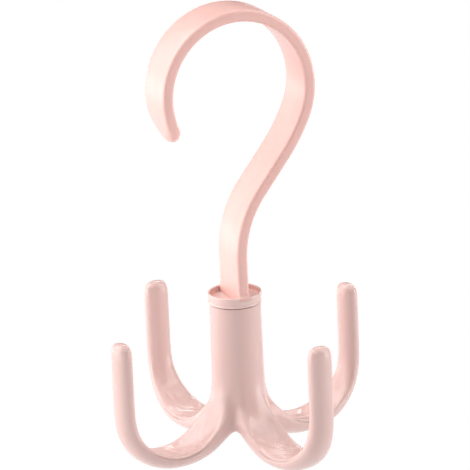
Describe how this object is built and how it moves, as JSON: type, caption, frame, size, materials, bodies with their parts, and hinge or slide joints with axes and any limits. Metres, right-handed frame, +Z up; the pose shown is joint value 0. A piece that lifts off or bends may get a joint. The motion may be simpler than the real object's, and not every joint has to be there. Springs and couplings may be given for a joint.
{
  "type": "rotating wardrobe hook",
  "caption": "Flat strap bent into a rod hook, with a cup collar and a stem below it whose upturned claws turn freely about the upright axis.",
  "frame": {"origin": "point where the turning axis meets the inner face of the rod hook's crown, which rests on the rod", "axes": "+Z up along the turning axis, +X towards the side where the strap bulges out, the hook's opening faces -X, the strap's width runs along Y"},
  "size_m": [0.1124, 0.1124, 0.1773],
  "materials": {
    "hook_plastic": "smooth pale pink moulding",
    "collar_plastic": "smooth pale pink moulding",
    "claw_plastic": "smooth pale pink moulding",
    "washer_nylon": "natural nylon",
    "washer_steel": "zinc plated",
    "screw_steel": "zinc plated"
  },
  "bodies": {
    "hook": {"rod_hook": "hook_plastic", "swivel_collar": "collar_plastic", "screw_washer": "washer_steel", "pivot_screw": "screw_steel"},
    "claws": {"claw_body": "claw_plastic", "thrust_washer": "washer_nylon"}
  },
  "joints": [
    {"name": "swivel", "type": "hinge", "parent": "hook", "child": "claws", "pos_m": [0, 0, -0.10887], "axis": [0, 0, 1], "continuous": true}
  ]
}
